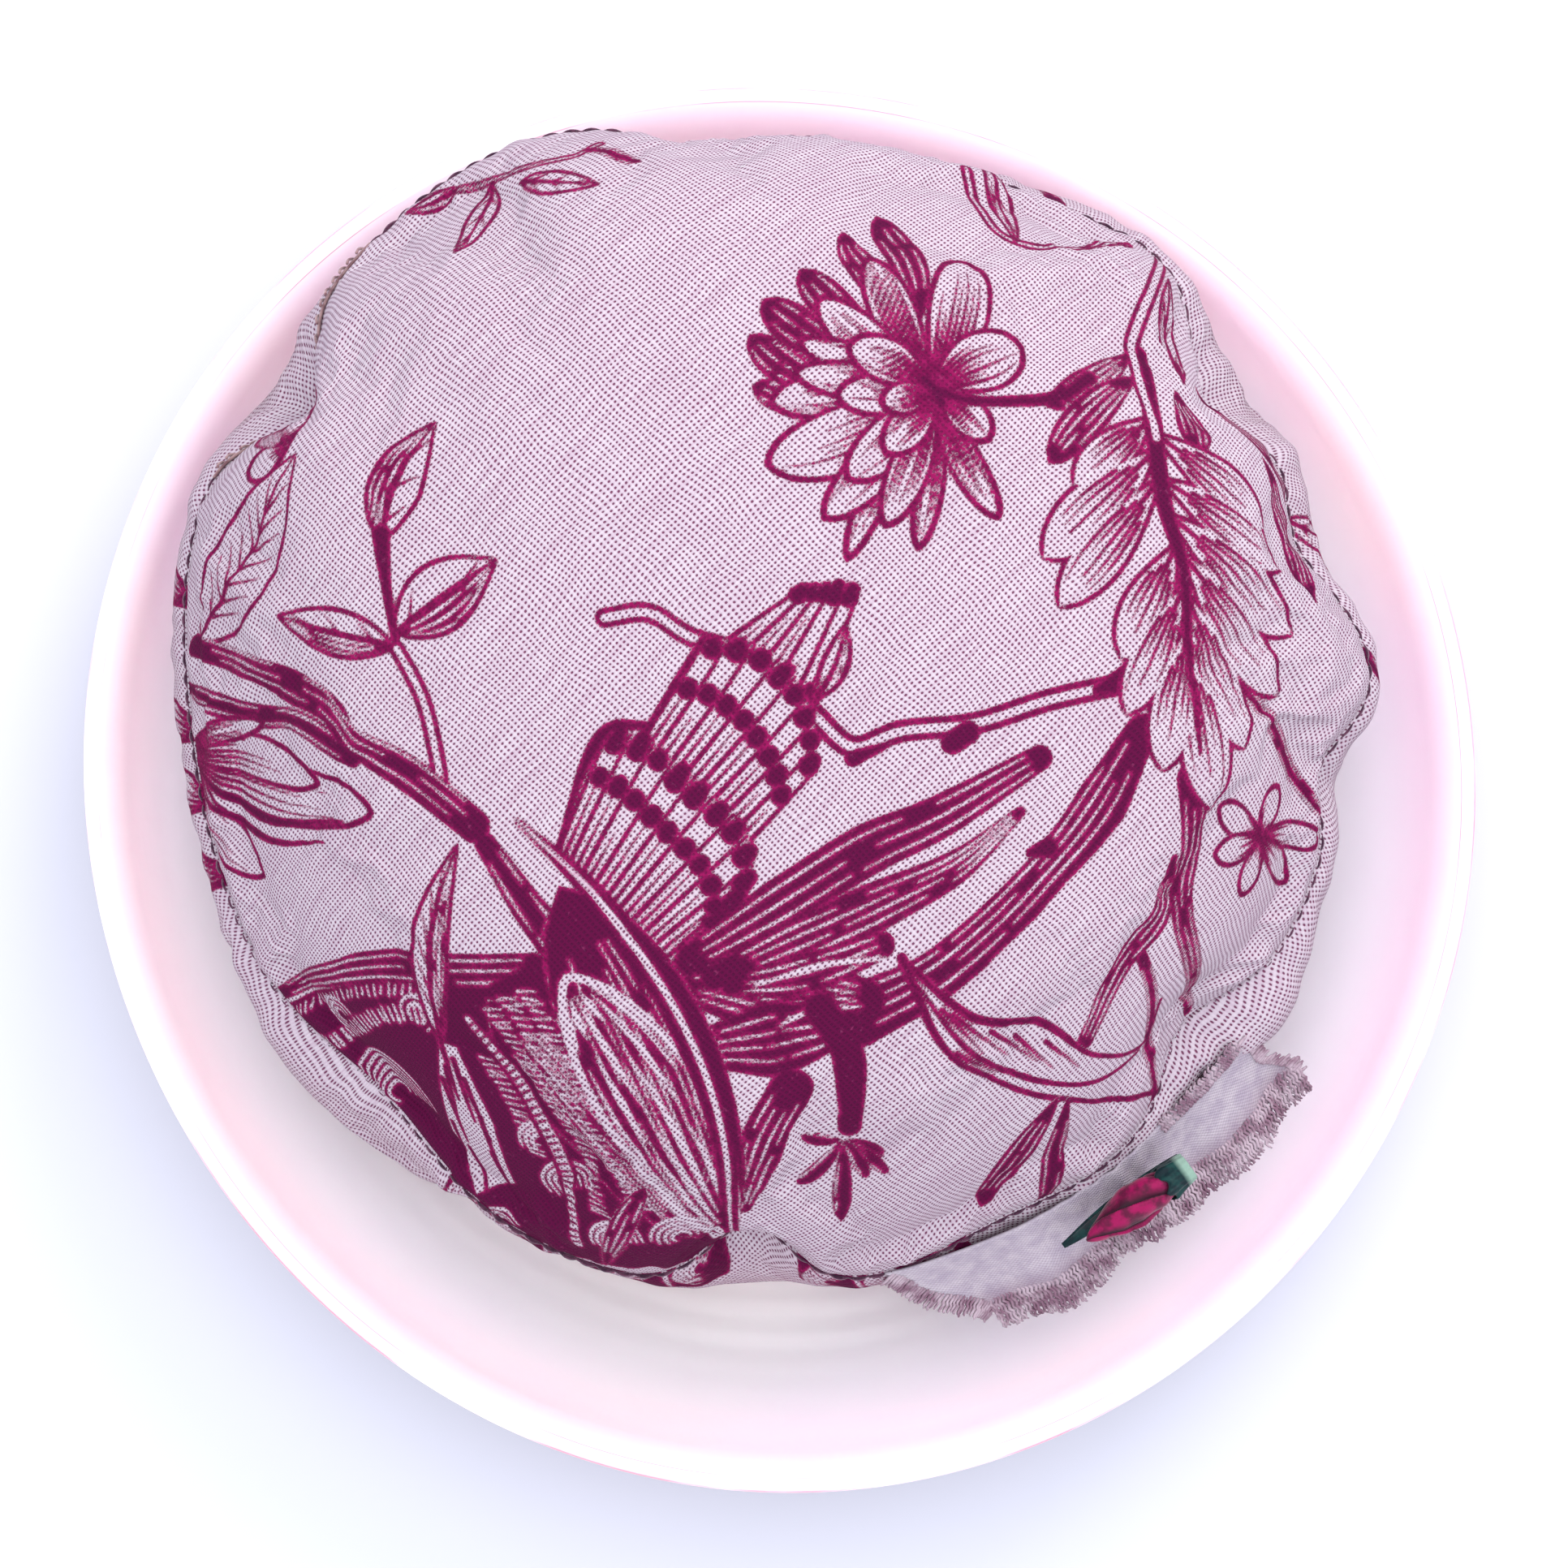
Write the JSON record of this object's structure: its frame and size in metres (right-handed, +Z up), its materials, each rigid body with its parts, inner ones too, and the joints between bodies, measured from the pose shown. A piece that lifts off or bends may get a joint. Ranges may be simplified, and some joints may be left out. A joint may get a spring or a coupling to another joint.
{
  "type": "pin cushion",
  "caption": "Round stuffed cloth pin cushion, sewn from printed panels with a gathered seam and a rosebud trim, lying loose in a shallow thrown dish.",
  "frame": {"origin": "centre of the dish's foot, on the surface that it stands on", "axes": "+Z up out of the dish; the cushion's trim is towards +X and -Y"},
  "size_m": [0.1506, 0.1526, 0.057],
  "materials": {
    "dish_glaze": "satin",
    "printed_cloth": "matte",
    "stuffing": "matte",
    "seam_thread": "matte",
    "hand_thread": "matte",
    "frayed_cloth": "matte",
    "rosebud_satin": "satin",
    "leaf_satin": "satin"
  },
  "bodies": {
    "dish": {"dish": "dish_glaze"},
    "cushion": {"bottom_panel": "printed_cloth", "top_panel": "printed_cloth", "filling": "stuffing", "seam_thread": "seam_thread", "closing_stitches": "hand_thread", "frayed_ribbon": "frayed_cloth", "rosebud": "rosebud_satin", "rosebud_leaf": "leaf_satin"}
  },
  "joints": [
    {"name": "cushion_lift", "type": "slide", "parent": "dish", "child": "cushion", "axis": [0, 0, 1], "range_m": [0, 0.06]}
  ]
}
